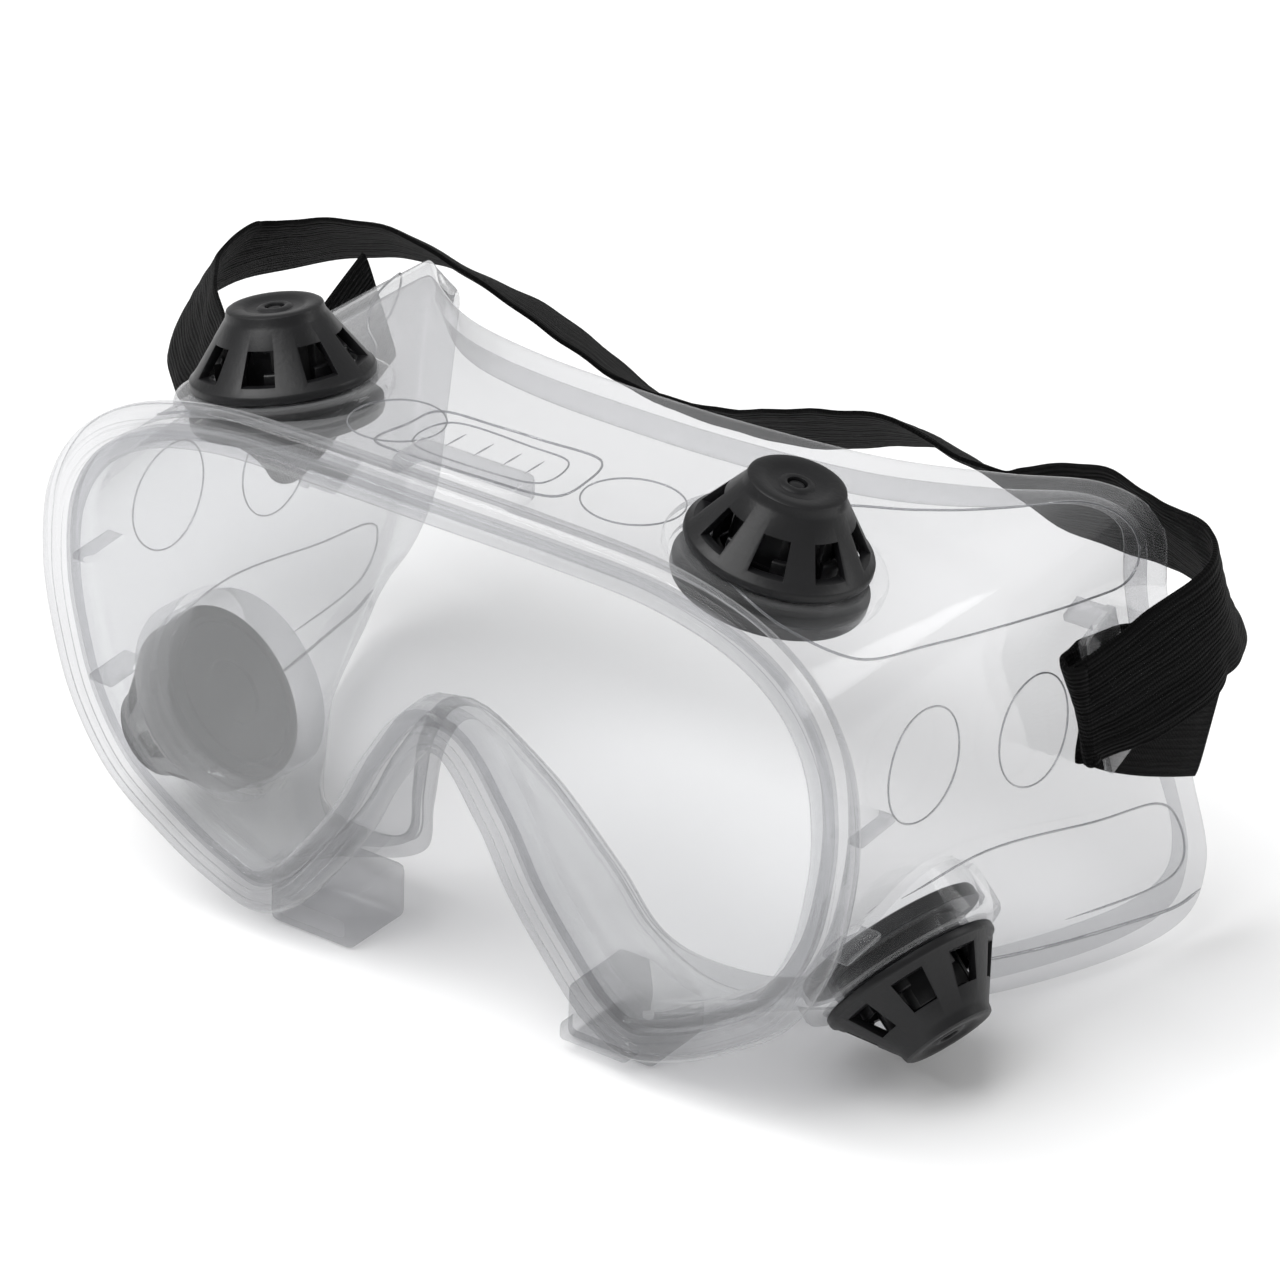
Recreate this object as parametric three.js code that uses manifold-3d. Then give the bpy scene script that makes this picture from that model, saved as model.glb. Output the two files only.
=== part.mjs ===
// Indirect-vent safety goggles: clear soft body, clear lens, four two-part vents and an elastic head strap.
// Units are millimetres. +Z is up, -Y is the way the wearer looks, +X is the wearer's left.
// Lengths below are given in the body's own frame: X = 0 is the plane of symmetry, Y = 0 the front of the rim
// and Z = 0 the lowest point of the rim. REST_TILT, REST_LIFT and BOX_CENTRE carry that frame to the row's
// origin, where the goggles stand on their lens tabs and cheeks.

import * as THREE from 'three';
import { mergeVertices } from 'three/addons/utils/BufferGeometryUtils.js';
import Module from 'manifold-3d';

const wasm = await Module();
wasm.setup();

// Driving dimensions
const BOX_CENTRE = [-13.28, 56.52];   // middle of the bounding box, which becomes the origin
const REST_TILT = 3.5;                // degrees that the lens leans forward at rest
const REST_LIFT = 4.27;

const RIM_DEPTH = 8;                  // front rim, along Y
const RIM_BEVEL = 1.5;
const RIM_BACK = 4.8;                 // the rim's outer face turns in to the side wall from here
const SLEEVE_STEP = 5;                // the side walls start this far inside the rim's outline
const WALL = 2.2;
const FLANGE_WIDTH = 7.5;             // sealing flange that turns inward at the back
const FLANGE_WIDTH_NOSE = 3.5;
const FLANGE_THICK = 2.4;
const APERTURE = 7.4;                 // rim's inner edge, in from its outline
const GROOVE_DEPTH = 3;               // groove that holds the lens edge
const GROOVE_FRONT = 1.8;
const LENS_THICK = 2;
const GAP = 0.3;                      // clearance between separate pieces

const VENT_RADIUS = 15;
const VENT_HEIGHT = 12.8;
const VENT_TOP_RADIUS = 6.75;
const VENT_SLOTS = 8;
const SEAT_RADIUS = 17.8;
const SEAT_THICK = 3.4;
const BASE_RADIUS = 15.6;
const SEAT_HOLE = 12;
const PIN_RADIUS = 1.3;

const STRAP_WIDTH = 25;
const STRAP_THICK = 1.5;
const TAIL_END = 26;                   // the tail runs this far behind the middle of its lug
const TAIL_SPLAY = 1.2;
const LUG = { x: 75.6, y: 70, z: 49.2, lean: 17, width: 12, length: 31, thick: 2, foot: 3 };

const STEPS_PER_SPAN = 2;             // facets between two outline points
const ROUND = 20;                     // facets of a round piece
const STATIONS = [0.15, 0.35, 0.55, 0.75, 0.9];   // rings of the side wall, from the rim to the rear edge

// Front outline of the rim, from the top centre down the side to the top of the nose arch: [x, z].
const FRONT = [
  [0, 91.5], [22, 91.5], [42, 90.6], [58, 86.4], [69, 78.8], [75.6, 67.5], [77.5, 54], [76.3, 41], [72.9, 28],
  [66, 16.4], [55.5, 8.2], [46, 2.9], [36.5, 0.2], [28, 4.3], [20.5, 13], [13.8, 22.5], [8, 33.5], [0, 43.2],
];

// Outer corner of the rear edge, point for point with FRONT: [x, y, z].
const REAR = [
  [0, 56.5, 83.3], [20, 58.8, 82.2], [40, 67.5, 78.4], [55, 79, 75], [66.5, 91.5, 71], [72.6, 98.8, 62.5],
  [74.3, 98.8, 50], [76.6, 99.2, 34], [79.6, 100.2, 17], [83.9, 98.6, 1], [82.4, 88, -7], [69, 60.5, -7.8],
  [52, 40, -6.3], [36, 30, -3.8], [22.5, 28.5, 2.5], [17, 24, 16], [9.5, 17.5, 33], [0, 13, 43.2],
];

// How far each line from FRONT to REAR bows outward half-way along.
const BOW = [0, 0, 0, 0.5, 1, 0.8, 0.3, 0.5, 1.5, 2.5, 2, 0.6, 0, 0, 0, 0, 0, 0];

const VENTS = [
  { name: 'upper_right', centre: [-47.1, 26.3, 83.1], axis: [-0.2, 0.12, 0.97], skirt: 1.2 },
  { name: 'upper_left', centre: [47.1, 26.3, 83.1], axis: [0.2, 0.12, 0.97], skirt: 1.2 },
  { name: 'lower_right', centre: [-69.1, 30.8, 13], axis: [-0.77, -0.21, -0.6], skirt: 7 },
  { name: 'lower_left', centre: [69.1, 30.8, 13], axis: [0.77, -0.21, -0.6], skirt: 7 },
];

// Middle line of the free band, from the wearer's left lug round the back to the right one, as
// [x, y, z, lean], where lean is how many degrees the webbing's top edge tips towards the middle of the loop.
const STRAP_ROUTE = [
  [82.5, 61.4, 48.2, -7], [84, 66.2, 50, -5], [87.2, 71.4, 52.8, -2], [90.8, 77.4, 56.2, 0], [92.2, 83.5, 59.2, 0],
  [89.5, 90.5, 61.4, 8],
  [83.5, 96.8, 61.4, 18], [75, 101.8, 59.8, 24], [64, 106.2, 56.8, 28], [54, 109, 53.2, 32], [43, 110.6, 50.6, 42],
  [31, 111, 52.6, 52], [19, 111, 55.4, 52], [7, 111, 52.8, 52], [-12, 110.8, 47, 52], [-33, 110.5, 46, 53],
  [-47, 110.3, 51, 55], [-59.5, 110.2, 55.8, 55], [-71, 110, 58.5, 53], [-83, 110, 60.3, 51],
  [-95, 108.8, 59, 49], [-105, 105.5, 56.5, 45], [-111.5, 99, 55.5, 40], [-112.5, 91, 55, 34],
  [-109.5, 81.5, 53.8, 24], [-101.5, 71.5, 52.5, 14], [-93, 66.2, 50.2, 4], [-82.9, 62.2, 48.4, 0],
];

const clearPvc = { color: 0xe3e6e8, roughness: 0.18, metalness: 0, transparent: true, opacity: 0.35 };
const clearLens = { color: 0xf2f4f5, roughness: 0.05, metalness: 0, transparent: true, opacity: 0.25 };
const blackPlastic = { color: 0x17181a, roughness: 0.38, metalness: 0 };
const blackWebbing = { color: 0x141414, roughness: 0.9, metalness: 0 };

// --- solids ---------------------------------------------------------------------------------------------------

function toSolid(geometry) {
  const bare = geometry.clone();
  bare.deleteAttribute('normal');
  bare.deleteAttribute('uv');
  const merged = mergeVertices(bare, 1e-4);
  return new wasm.Manifold(new wasm.Mesh({
    numProp: 3,
    vertProperties: new Float32Array(merged.attributes.position.array),
    triVerts: new Uint32Array(merged.index.array),
  }));
}

function toGeometry(solid) {
  const mesh = solid.getMesh();
  const geometry = new THREE.BufferGeometry();
  geometry.setAttribute('position', new THREE.BufferAttribute(new Float32Array(mesh.vertProperties), 3));
  geometry.setIndex(new THREE.BufferAttribute(new Uint32Array(mesh.triVerts), 1));
  geometry.computeVertexNormals();
  return geometry;
}

function makeMesh(name, geometry, finish) {
  const mesh = new THREE.Mesh(geometry, new THREE.MeshStandardMaterial(finish));
  mesh.name = name;
  return mesh;
}

// A closed solid through a row of rings with the same number of points, each clockwise seen from the front.
function loft(rings) {
  const count = rings[0].length;
  const positions = rings.flatMap((ring) => ring.flatMap((p) => [p.x, p.y, p.z]));
  const index = [];
  for (let r = 0; r + 1 < rings.length; r += 1) {
    for (let i = 0; i < count; i += 1) {
      const a = r * count + i;
      const b = r * count + (i + 1) % count;
      index.push(a, b, a + count, b, b + count, a + count);
    }
  }
  const first = 0;
  const last = (rings.length - 1) * count;
  for (const [start, ring, frontward] of [[first, rings[0], true], [last, rings[rings.length - 1], false]]) {
    const flat = ring.map((p) => new THREE.Vector2(p.x, p.z));
    const faces = THREE.ShapeUtils.triangulateShape(flat, []);
    const area = faces.reduce((sum, face) => sum + THREE.ShapeUtils.area(face.map((i) => flat[i])), 0);
    for (const [a, b, c] of faces) {
      index.push(...((area > 0) === frontward ? [a, b, c] : [a, c, b]).map((i) => start + i));
    }
  }
  const geometry = new THREE.BufferGeometry();
  geometry.setAttribute('position', new THREE.BufferAttribute(new Float32Array(positions), 3));
  geometry.setIndex(index);
  return geometry;
}

function box(size, centre, rotation = [0, 0, 0]) {
  const geometry = new THREE.BoxGeometry(...size);
  const turn = new THREE.Matrix4().makeRotationFromEuler(new THREE.Euler(...rotation));
  return toSolid(geometry.applyMatrix4(turn).translate(...centre));
}

// A cylinder along the local Y axis, between two heights.
function cylinder(radius, low, high, segments = ROUND) {
  return new THREE.CylinderGeometry(radius, radius, high - low, segments).translate(0, (high + low) / 2, 0);
}

// --- body outline ---------------------------------------------------------------------------------------------

const mirrored = (points) => [...points, ...points.slice(1, -1).reverse().map(([x, ...rest]) => [-x, ...rest])];

function sampled(points) {
  const curve = new THREE.CatmullRomCurve3(points.map((p) => new THREE.Vector3(...p)), true, 'catmullrom', 0.5);
  const steps = points.length * STEPS_PER_SPAN;
  return Array.from({ length: steps }, (_, i) => curve.getPoint(i / steps));
}

const frontRing = sampled(mirrored(FRONT.map(([x, z]) => [x, 0, z])));
const rearRing = sampled(mirrored(REAR));
const bowRing = sampled(mirrored(BOW.map((bow) => [0, bow, 0]))).map((p) => p.y);
const COUNT = frontRing.length;

const around = (list, i) => list[(i + COUNT) % COUNT];

// Outward direction of the front outline in its own plane.
const outwardRing = frontRing.map((_, i) => {
  const along = around(frontRing, i + 1).clone().sub(around(frontRing, i - 1)).normalize();
  return new THREE.Vector3(-along.z, 0, along.x);
});

function rimRing(inset, y) {
  return frontRing.map((p, i) => p.clone().addScaledVector(outwardRing[i], -inset).setY(y));
}

const sleeveStart = rimRing(SLEEVE_STEP, RIM_DEPTH);

function sleevePoint(i, t) {
  const bow = 4 * t * (1 - t) * around(bowRing, i);
  return around(sleeveStart, i).clone().lerp(around(rearRing, i), t).addScaledVector(around(outwardRing, i), bow);
}

// Ring of the side wall, pushed inward by a depth that may change around the outline. Past t = 1 it runs on
// behind the rear edge.
function sleeveRing(t, depthAt) {
  return frontRing.map((_, i) => sleevePoint(i, t).addScaledVector(outwardRing[i], -depthAt(i)));
}

// Ring a fixed distance in front of the rear edge.
function rearRingAhead(ahead, depthAt) {
  return frontRing.map((_, i) => {
    const backward = around(rearRing, i).clone().sub(sleeveStart[i]).normalize();
    return rearRing[i].clone().addScaledVector(backward, -ahead).addScaledVector(outwardRing[i], -depthAt(i));
  });
}

// 1 beside the nose and 0 elsewhere, so that the flange narrows there.
function noseShare(i) {
  return THREE.MathUtils.smoothstep(34 - Math.abs(around(rearRing, i).x), 0, 12)
    * THREE.MathUtils.smoothstep(60 - around(rearRing, i).z, 0, 10);
}

const flangeDepth = (i) => THREE.MathUtils.lerp(FLANGE_WIDTH, FLANGE_WIDTH_NOSE, noseShare(i));
const wallDepth = () => WALL;

// --- body -----------------------------------------------------------------------------------------------------

function makeBodyShell() {
  const outside = [
    rimRing(0.6, 0), rimRing(0, RIM_BEVEL), rimRing(0.9, RIM_BACK), sleeveStart,
    ...STATIONS.map((t) => sleeveRing(t, () => 0)), sleeveRing(1, () => 0),
    rearRingAhead(0, (i) => flangeDepth(i) + 0.6),
  ];
  return toSolid(loft(outside));
}

function makeCavity() {
  const grooveBack = GROOVE_FRONT + LENS_THICK + 2 * GAP;
  const inside = [
    rimRing(APERTURE - 1.6, -1), rimRing(APERTURE, GROOVE_FRONT),
    rimRing(APERTURE - GROOVE_DEPTH, GROOVE_FRONT), rimRing(APERTURE - GROOVE_DEPTH, grooveBack),
    rimRing(APERTURE, grooveBack), rimRing(APERTURE, RIM_DEPTH - 0.5),
    ...STATIONS.map((t) => sleeveRing(t, wallDepth)),
    rearRingAhead(FLANGE_THICK, wallDepth), rearRingAhead(FLANGE_THICK - 0.01, flangeDepth),
    rearRingAhead(-1.5, flangeDepth), rearRingAhead(-1.5, flangeDepth).map((p) => p.setY(130)),
  ];
  return toSolid(loft(inside));
}

function placeAlongAxis(geometry, vent) {
  const turn = new THREE.Quaternion().setFromUnitVectors(
    new THREE.Vector3(0, 1, 0), new THREE.Vector3(...vent.axis).normalize());
  return geometry.clone().applyQuaternion(turn).translate(...vent.centre);
}

function makeLensTabs() {
  const level = [-THREE.MathUtils.degToRad(REST_TILT), 0, 0];
  const bottomTab = (side) => box([17, 15, 10], [side * 29.5, 13.8, -0.1], level);
  return [bottomTab(1), bottomTab(-1), box([22, 8, 4.6], [0, 10.5, 88.6])];
}

function makeGussets() {
  const gussets = [];
  for (const side of [-1, 1]) {
    for (const [x, z] of [[73.6, 51], [71.4, 29]]) {
      gussets.push(box([4.6, 9, 1.4], [side * x, RIM_DEPTH + 3.5, z]));
    }
  }
  return gussets;
}

// Strap lug: a bridge that stands off the side wall on a foot at each end.
function makeLug(side) {
  const tilt = [THREE.MathUtils.degToRad(LUG.lean), 0, 0];
  const plate = LUG.x + LUG.foot + LUG.thick / 2;
  const parts = [box([LUG.thick, LUG.width, LUG.length], [side * plate, 0, 0])];
  for (const end of [-1, 1]) {
    const footHeight = (LUG.length - STRAP_WIDTH) / 2 - GAP;
    const footZ = end * (LUG.length - footHeight) / 2;
    parts.push(box([LUG.foot + 2.5, LUG.width, footHeight], [side * (LUG.x + LUG.foot / 2 - 0.7), 0, footZ]));
  }
  const turn = new THREE.Matrix4().makeRotationFromEuler(new THREE.Euler(...tilt));
  return parts.reduce((a, b) => a.add(b))
    .transform(turn.setPosition(0, LUG.y, LUG.z).toArray());
}

function makeBody() {
  let body = makeBodyShell();
  makeLensTabs().forEach((tab) => { body = body.add(tab); });
  makeGussets().forEach((gusset) => { body = body.add(gusset); });
  body = body.subtract(makeCavity());
  for (const vent of VENTS) {
    const pocket = toSolid(placeAlongAxis(cylinder(BASE_RADIUS + 0.7, -SEAT_THICK - 8, -SEAT_THICK), vent));
    const seat = toSolid(placeAlongAxis(cylinder(SEAT_RADIUS, -SEAT_THICK - vent.skirt, 0), vent));
    body = body.add(seat).subtract(pocket);
    body = body.subtract(toSolid(placeAlongAxis(cylinder(SEAT_HOLE, -SEAT_THICK - 6, 3), vent)));
    body = body.subtract(toSolid(placeAlongAxis(cylinder(VENT_RADIUS + 0.8, 0, 6), vent)));
  }
  for (const side of [-1, 1]) {
    body = body.add(makeLug(side));
  }
  return toGeometry(body);
}

function makeLens() {
  const inset = APERTURE - GROOVE_DEPTH + GAP;
  const front = GROOVE_FRONT + GAP;
  return loft([rimRing(inset, front), rimRing(inset, front + LENS_THICK)]);
}

// --- vents ----------------------------------------------------------------------------------------------------

// Pieces of a vent stand along +Y from the seat plane at Y = 0.
function lathe(profile) {
  const points = profile.map(([r, y]) => new THREE.Vector2(r, y));
  return new THREE.LatheGeometry(points, ROUND);
}

function makeVentCap() {
  const profile = [
    [VENT_RADIUS - 1.8, GAP], [VENT_RADIUS, GAP], [VENT_RADIUS, 1.8], [8.2, 11], [7.8, 12.5],
    [VENT_TOP_RADIUS, VENT_HEIGHT], [PIN_RADIUS + GAP, VENT_HEIGHT], [PIN_RADIUS + GAP, 8.8], [3, 8.8],
    [3, 11.2], [6.3, 11.2], [VENT_RADIUS - 1.8, 1.4],
  ];
  const cap = lathe([...profile, profile[0]]);
  let solid = toSolid(cap);
  const slotShape = new THREE.Shape([
    new THREE.Vector2(-2.9, 3.1), new THREE.Vector2(2.9, 3.1), new THREE.Vector2(1.9, 8.9), new THREE.Vector2(-1.9, 8.9),
  ]);
  for (let i = 0; i < VENT_SLOTS; i += 1) {
    const slot = new THREE.ExtrudeGeometry(slotShape, { depth: VENT_RADIUS, bevelEnabled: false });
    slot.translate(0, 0, 4).rotateY((i + 0.5) * 2 * Math.PI / VENT_SLOTS);
    solid = solid.subtract(toSolid(slot));
  }
  return toGeometry(solid);
}

function makeVentBase() {
  const top = -SEAT_THICK - GAP;
  const disc = lathe([
    [0, top - 2.6], [BASE_RADIUS - 0.7, top - 2.6], [BASE_RADIUS, top - 1.9], [BASE_RADIUS, top],
    [10.7, top], [10.7, 4.2], [9.5, 4.2], [9.5, top - 0.8], [PIN_RADIUS, top - 0.8], [PIN_RADIUS, 12.2], [0, 12.2],
  ]);
  let base = toSolid(disc);
  for (let i = 0; i < VENT_SLOTS; i += 1) {
    const notch = new THREE.BoxGeometry(4.6, 6, 6).translate(0, 4.2, 11);
    base = base.subtract(toSolid(notch.rotateY(i * 2 * Math.PI / VENT_SLOTS)));
  }
  return toGeometry(base);
}

// --- strap ----------------------------------------------------------------------------------------------------

function strapCurve() {
  const points = STRAP_ROUTE.map(([x, y, z]) => new THREE.Vector3(x, y, z));
  return new THREE.CatmullRomCurve3(points, false, 'centripetal');
}

// The free band: a flat section carried along its route, its width leaning into the loop as stated.
function makeStrapBand() {
  const curve = strapCurve();
  const spans = (STRAP_ROUTE.length - 1) * 2;
  const rings = [];
  for (let k = 0; k <= spans; k += 1) {
    const u = k / spans;
    const place = u * (STRAP_ROUTE.length - 1);
    const before = STRAP_ROUTE[Math.floor(place)][3];
    const after = STRAP_ROUTE[Math.ceil(place)][3];
    const lean = THREE.MathUtils.degToRad(THREE.MathUtils.lerp(before, after, place % 1));
    const centre = curve.getPoint(u);
    const tangent = curve.getTangent(u);
    const inward = new THREE.Vector3(-tangent.y, tangent.x, 0).normalize();
    const wide = new THREE.Vector3(0, 0, Math.cos(lean)).addScaledVector(inward, Math.sin(lean));
    wide.addScaledVector(tangent, -wide.dot(tangent)).normalize();
    const thick = wide.clone().cross(tangent).normalize();
    rings.push([[-1, -1], [1, -1], [1, 1], [-1, 1]].map(([a, b]) => centre.clone()
      .addScaledVector(wide, a * STRAP_WIDTH / 2)
      .addScaledVector(thick, b * STRAP_THICK / 2)));
  }
  const ring = (r, i) => r * 4 + (i % 4);
  const index = [];
  for (let r = 0; r < spans; r += 1) {
    for (let i = 0; i < 4; i += 1) {
      index.push(ring(r, i), ring(r + 1, i), ring(r, i + 1), ring(r, i + 1), ring(r + 1, i), ring(r + 1, i + 1));
    }
  }
  index.push(0, 1, 2, 0, 2, 3);
  index.push(ring(spans, 0), ring(spans, 2), ring(spans, 1), ring(spans, 0), ring(spans, 3), ring(spans, 2));
  const geometry = new THREE.BufferGeometry();
  geometry.setAttribute('position', new THREE.BufferAttribute(
    new Float32Array(rings.flat().flatMap((p) => [p.x, p.y, p.z])), 3));
  geometry.setIndex(index);
  return geometry;
}

// The webbing that stays on one lug: the turn round the bridge's front edge and the tail behind the bridge.
function makeStrapLoop(side) {
  const tail = LUG.x + LUG.foot - GAP;             // face of the tail that is next to the bridge
  const outer = LUG.x + LUG.foot + LUG.thick;      // face of the bridge that the free band lies on
  const front = -LUG.width / 2 - GAP;
  const outline = [
    [tail, front], [tail, LUG.width / 2], [tail + TAIL_SPLAY, TAIL_END], [tail + TAIL_SPLAY - STRAP_THICK, TAIL_END],
    [tail - STRAP_THICK, LUG.width / 2], [tail - STRAP_THICK, front - 0.6], [tail - 0.4, front - STRAP_THICK],
    [outer, front - STRAP_THICK], [outer, front],
  ];
  const shape = new THREE.Shape(outline.map(([x, y]) => new THREE.Vector2(side * x, y)));
  const webbing = new THREE.ExtrudeGeometry(shape, { depth: STRAP_WIDTH, bevelEnabled: false });
  webbing.translate(0, 0, -STRAP_WIDTH / 2).rotateX(THREE.MathUtils.degToRad(LUG.lean));
  return webbing.translate(0, LUG.y, LUG.z);
}

// --- assembly -------------------------------------------------------------------------------------------------

const goggles = new THREE.Group();
goggles.rotation.x = THREE.MathUtils.degToRad(REST_TILT);
goggles.position.set(-BOX_CENTRE[0], -BOX_CENTRE[1], REST_LIFT);
goggles.add(makeMesh('frame_body', makeBody(), clearPvc));
goggles.add(makeMesh('lens', makeLens(), clearLens));
for (const vent of VENTS) {
  goggles.add(makeMesh(`vent_cap_${vent.name}`, placeAlongAxis(makeVentCap(), vent), blackPlastic));
  goggles.add(makeMesh(`vent_base_${vent.name}`, placeAlongAxis(makeVentBase(), vent), blackPlastic));
}
goggles.add(makeMesh('strap_band', makeStrapBand(), blackWebbing));
goggles.add(makeMesh('strap_loop_left', makeStrapLoop(1), blackWebbing));
goggles.add(makeMesh('strap_loop_right', makeStrapLoop(-1), blackWebbing));

const part = new THREE.Group();
part.add(goggles);

export default part;
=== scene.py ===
import math

import bmesh
import bpy
import numpy as np
from mathutils import Matrix, Vector


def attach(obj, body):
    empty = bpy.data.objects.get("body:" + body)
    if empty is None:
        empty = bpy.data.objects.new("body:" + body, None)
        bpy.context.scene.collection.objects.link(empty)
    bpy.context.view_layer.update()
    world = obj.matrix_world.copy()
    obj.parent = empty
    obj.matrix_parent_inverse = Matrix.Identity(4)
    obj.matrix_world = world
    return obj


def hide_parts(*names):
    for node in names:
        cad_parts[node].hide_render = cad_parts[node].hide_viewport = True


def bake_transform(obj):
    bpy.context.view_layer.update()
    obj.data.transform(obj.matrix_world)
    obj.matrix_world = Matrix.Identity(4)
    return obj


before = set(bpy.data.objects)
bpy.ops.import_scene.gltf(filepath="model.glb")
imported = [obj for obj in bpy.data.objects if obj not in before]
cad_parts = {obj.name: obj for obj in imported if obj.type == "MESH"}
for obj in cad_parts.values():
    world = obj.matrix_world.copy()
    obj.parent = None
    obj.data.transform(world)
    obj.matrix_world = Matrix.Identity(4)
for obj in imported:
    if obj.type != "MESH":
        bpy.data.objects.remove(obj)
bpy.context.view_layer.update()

# Lengths are millimetres in the goggles' own frame: x = 0 is the plane of symmetry, y = 0 the front of the rim,
# z = 0 the lowest point of the rim. place() carries a mesh to the row frame, in metres.
REST_TILT = math.radians(3.5)
REST_SHIFT = (13.28, -56.52, 4.27)
TO_ROW = (Matrix.Scale(0.001, 4) @ Matrix.Translation(REST_SHIFT) @ Matrix.Rotation(REST_TILT, 4, "X"))

RIM_DEPTH = 8.0
SLEEVE_STEP = 5.0
WALL = 2.2
FLANGE_WIDTH = 7.5
FLANGE_WIDTH_NOSE = 3.5
FLANGE_THICK = 2.4
APERTURE = 7.4
GROOVE_DEPTH = 3.0
GROOVE_FRONT = 1.8
LENS_THICK = 2.0
GAP = 0.3
VENT_RADIUS = 15.0
VENT_HEIGHT = 12.8
VENT_TOP_RADIUS = 6.75
VENT_SLOTS = 8
SEAT_RADIUS = 17.8
SEAT_THICK = 3.4
SEAT_HOLE = 12.0
BASE_RADIUS = 15.6
PIN_RADIUS = 1.3
STRAP_WIDTH = 25.0
STRAP_THICK = 1.3
STRAP_ACROSS = 25         # points across the webbing
STRAP_LEAN = math.radians(20)   # right tail: how far its top edge leans forward
FOLD_AT = 44.0            # distance from either end to the fold over the lug
FOLD_SPREAD = 13.0
FOLD_PINCH = 0.12         # share of its width that the webbing loses in the fold
CALM_END = 32.0           # length at either end that lies flat
CALM_FADE = 25.0
LUG_AT = (0, 70, 49.2)
LUG_LEAN = math.radians(19)
STEPS = 10                # points of an outline between two listed ones
SPLINE_STEPS = 8          # the same for the strap and the moulded lines
ROUND = 72                # facets of a vent base, seat or cutter
CAP_ROUND = 96

# Front outline of the rim, from the top centre down the side to the top of the nose arch: x, z.
FRONT = [
    (0, 91.5), (22, 91.5), (42, 90.6), (58, 86.4), (69, 78.8), (75.6, 67.5), (77.5, 54), (76.3, 41), (72.9, 28),
    (66, 16.4), (55.5, 8.2), (46, 2.9), (36.5, 0.2), (28, 4.3), (20.5, 13), (13.8, 22.5), (8, 33.5), (0, 43.2),
]
# Outer corner of the rear edge, point for point with FRONT: x, y, z.
REAR = [
    (0, 56.5, 83.3), (20, 58.8, 82.2), (40, 67.5, 78.4), (55, 79, 75), (66.5, 91.5, 71), (72.6, 98.8, 62.5),
    (74.3, 98.8, 50), (76.6, 99.2, 34), (79.6, 100.2, 17), (83.9, 98.6, 1), (82.4, 88, -7), (69, 60.5, -7.8),
    (52, 40, -6.3), (36, 30, -3.8), (22.5, 28.5, 2.5), (17, 24, 16), (9.5, 17.5, 33), (0, 13, 43.2),
]
# How far each line from FRONT to REAR bows outward half-way along.
BOW = [0, 0, 0, 0.5, 1, 0.8, 0.3, 0.5, 1.5, 2.5, 2, 0.6, 0, 0, 0, 0, 0, 0]

# Vent seats: centre, outward axis, and how deep the seat's skirt goes behind the wall.
VENTS = {
    "upper_right": ((-47.1, 26.3, 83.1), (-0.2, 0.12, 0.97), 1.2),
    "upper_left": ((47.1, 26.3, 83.1), (0.2, 0.12, 0.97), 1.2),
    "lower_right": ((-69.1, 30.8, 13), (-0.77, -0.21, -0.6), 7),
    "lower_left": ((69.1, 30.8, 13), (0.77, -0.21, -0.6), 7),
}


# --- small mesh tools ------------------------------------------------------------------------------------------

def make_mesh(name, points, faces, material=None, smooth=35.0):
    mesh = bpy.data.meshes.new(name)
    mesh.from_pydata([tuple(map(float, p)) for p in points], [], faces)
    mesh.validate()
    obj = bpy.data.objects.new(name, mesh)
    bpy.context.scene.collection.objects.link(obj)
    if material:
        mesh.materials.append(material)
    shade(obj, smooth)
    return obj


def shade(obj, angle):
    mesh = obj.data
    mesh.polygons.foreach_set("use_smooth", [True] * len(mesh.polygons))
    mesh.set_sharp_from_angle(angle=math.radians(angle))
    mesh.update()


def apply_modifiers(obj):
    depsgraph = bpy.context.evaluated_depsgraph_get()
    mesh = bpy.data.meshes.new_from_object(obj.evaluated_get(depsgraph))
    obj.modifiers.clear()
    obj.data = mesh
    return obj


def face_outward(obj):
    mesh = bmesh.new()
    mesh.from_mesh(obj.data)
    bmesh.ops.recalc_face_normals(mesh, faces=mesh.faces)
    mesh.to_mesh(obj.data)
    mesh.free()
    return obj


def boolean(obj, other, operation):
    face_outward(obj)
    face_outward(other)
    modifier = obj.modifiers.new("cut", "BOOLEAN")
    modifier.operation = operation
    modifier.solver = "EXACT"
    modifier.object = other
    apply_modifiers(obj)
    return obj


def bevel(obj, width, segments=2, angle=30.0):
    modifier = obj.modifiers.new("bevel", "BEVEL")
    modifier.width = width
    modifier.segments = segments
    modifier.limit_method = "ANGLE"
    modifier.angle_limit = math.radians(angle)
    modifier.use_clamp_overlap = True
    return apply_modifiers(obj)


def remove(*objs):
    for obj in objs:
        bpy.data.objects.remove(obj)


def join(name, objs):
    points, faces = [], []
    for obj in objs:
        start = len(points)
        points += [tuple(obj.matrix_world @ v.co) for v in obj.data.vertices]
        faces += [[start + i for i in p.vertices] for p in obj.data.polygons]
    joined = make_mesh(name, points, faces)
    remove(*objs)
    return joined


def transform(obj, matrix):
    obj.data.transform(matrix)
    return obj


def place(obj, body, slot, *nodes):
    transform(obj, TO_ROW)
    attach(obj, body)
    if nodes:
        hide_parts(*nodes)
    return obj


def grid_faces(rows, count, close_rows=False, flip=False):
    faces = []
    for r in range(rows if close_rows else rows - 1):
        for i in range(count):
            a, b = r * count + i, r * count + (i + 1) % count
            c, d = ((r + 1) % rows) * count + (i + 1) % count, ((r + 1) % rows) * count + i
            faces.append((a, d, c, b) if flip else (a, b, c, d))
    return faces


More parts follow.
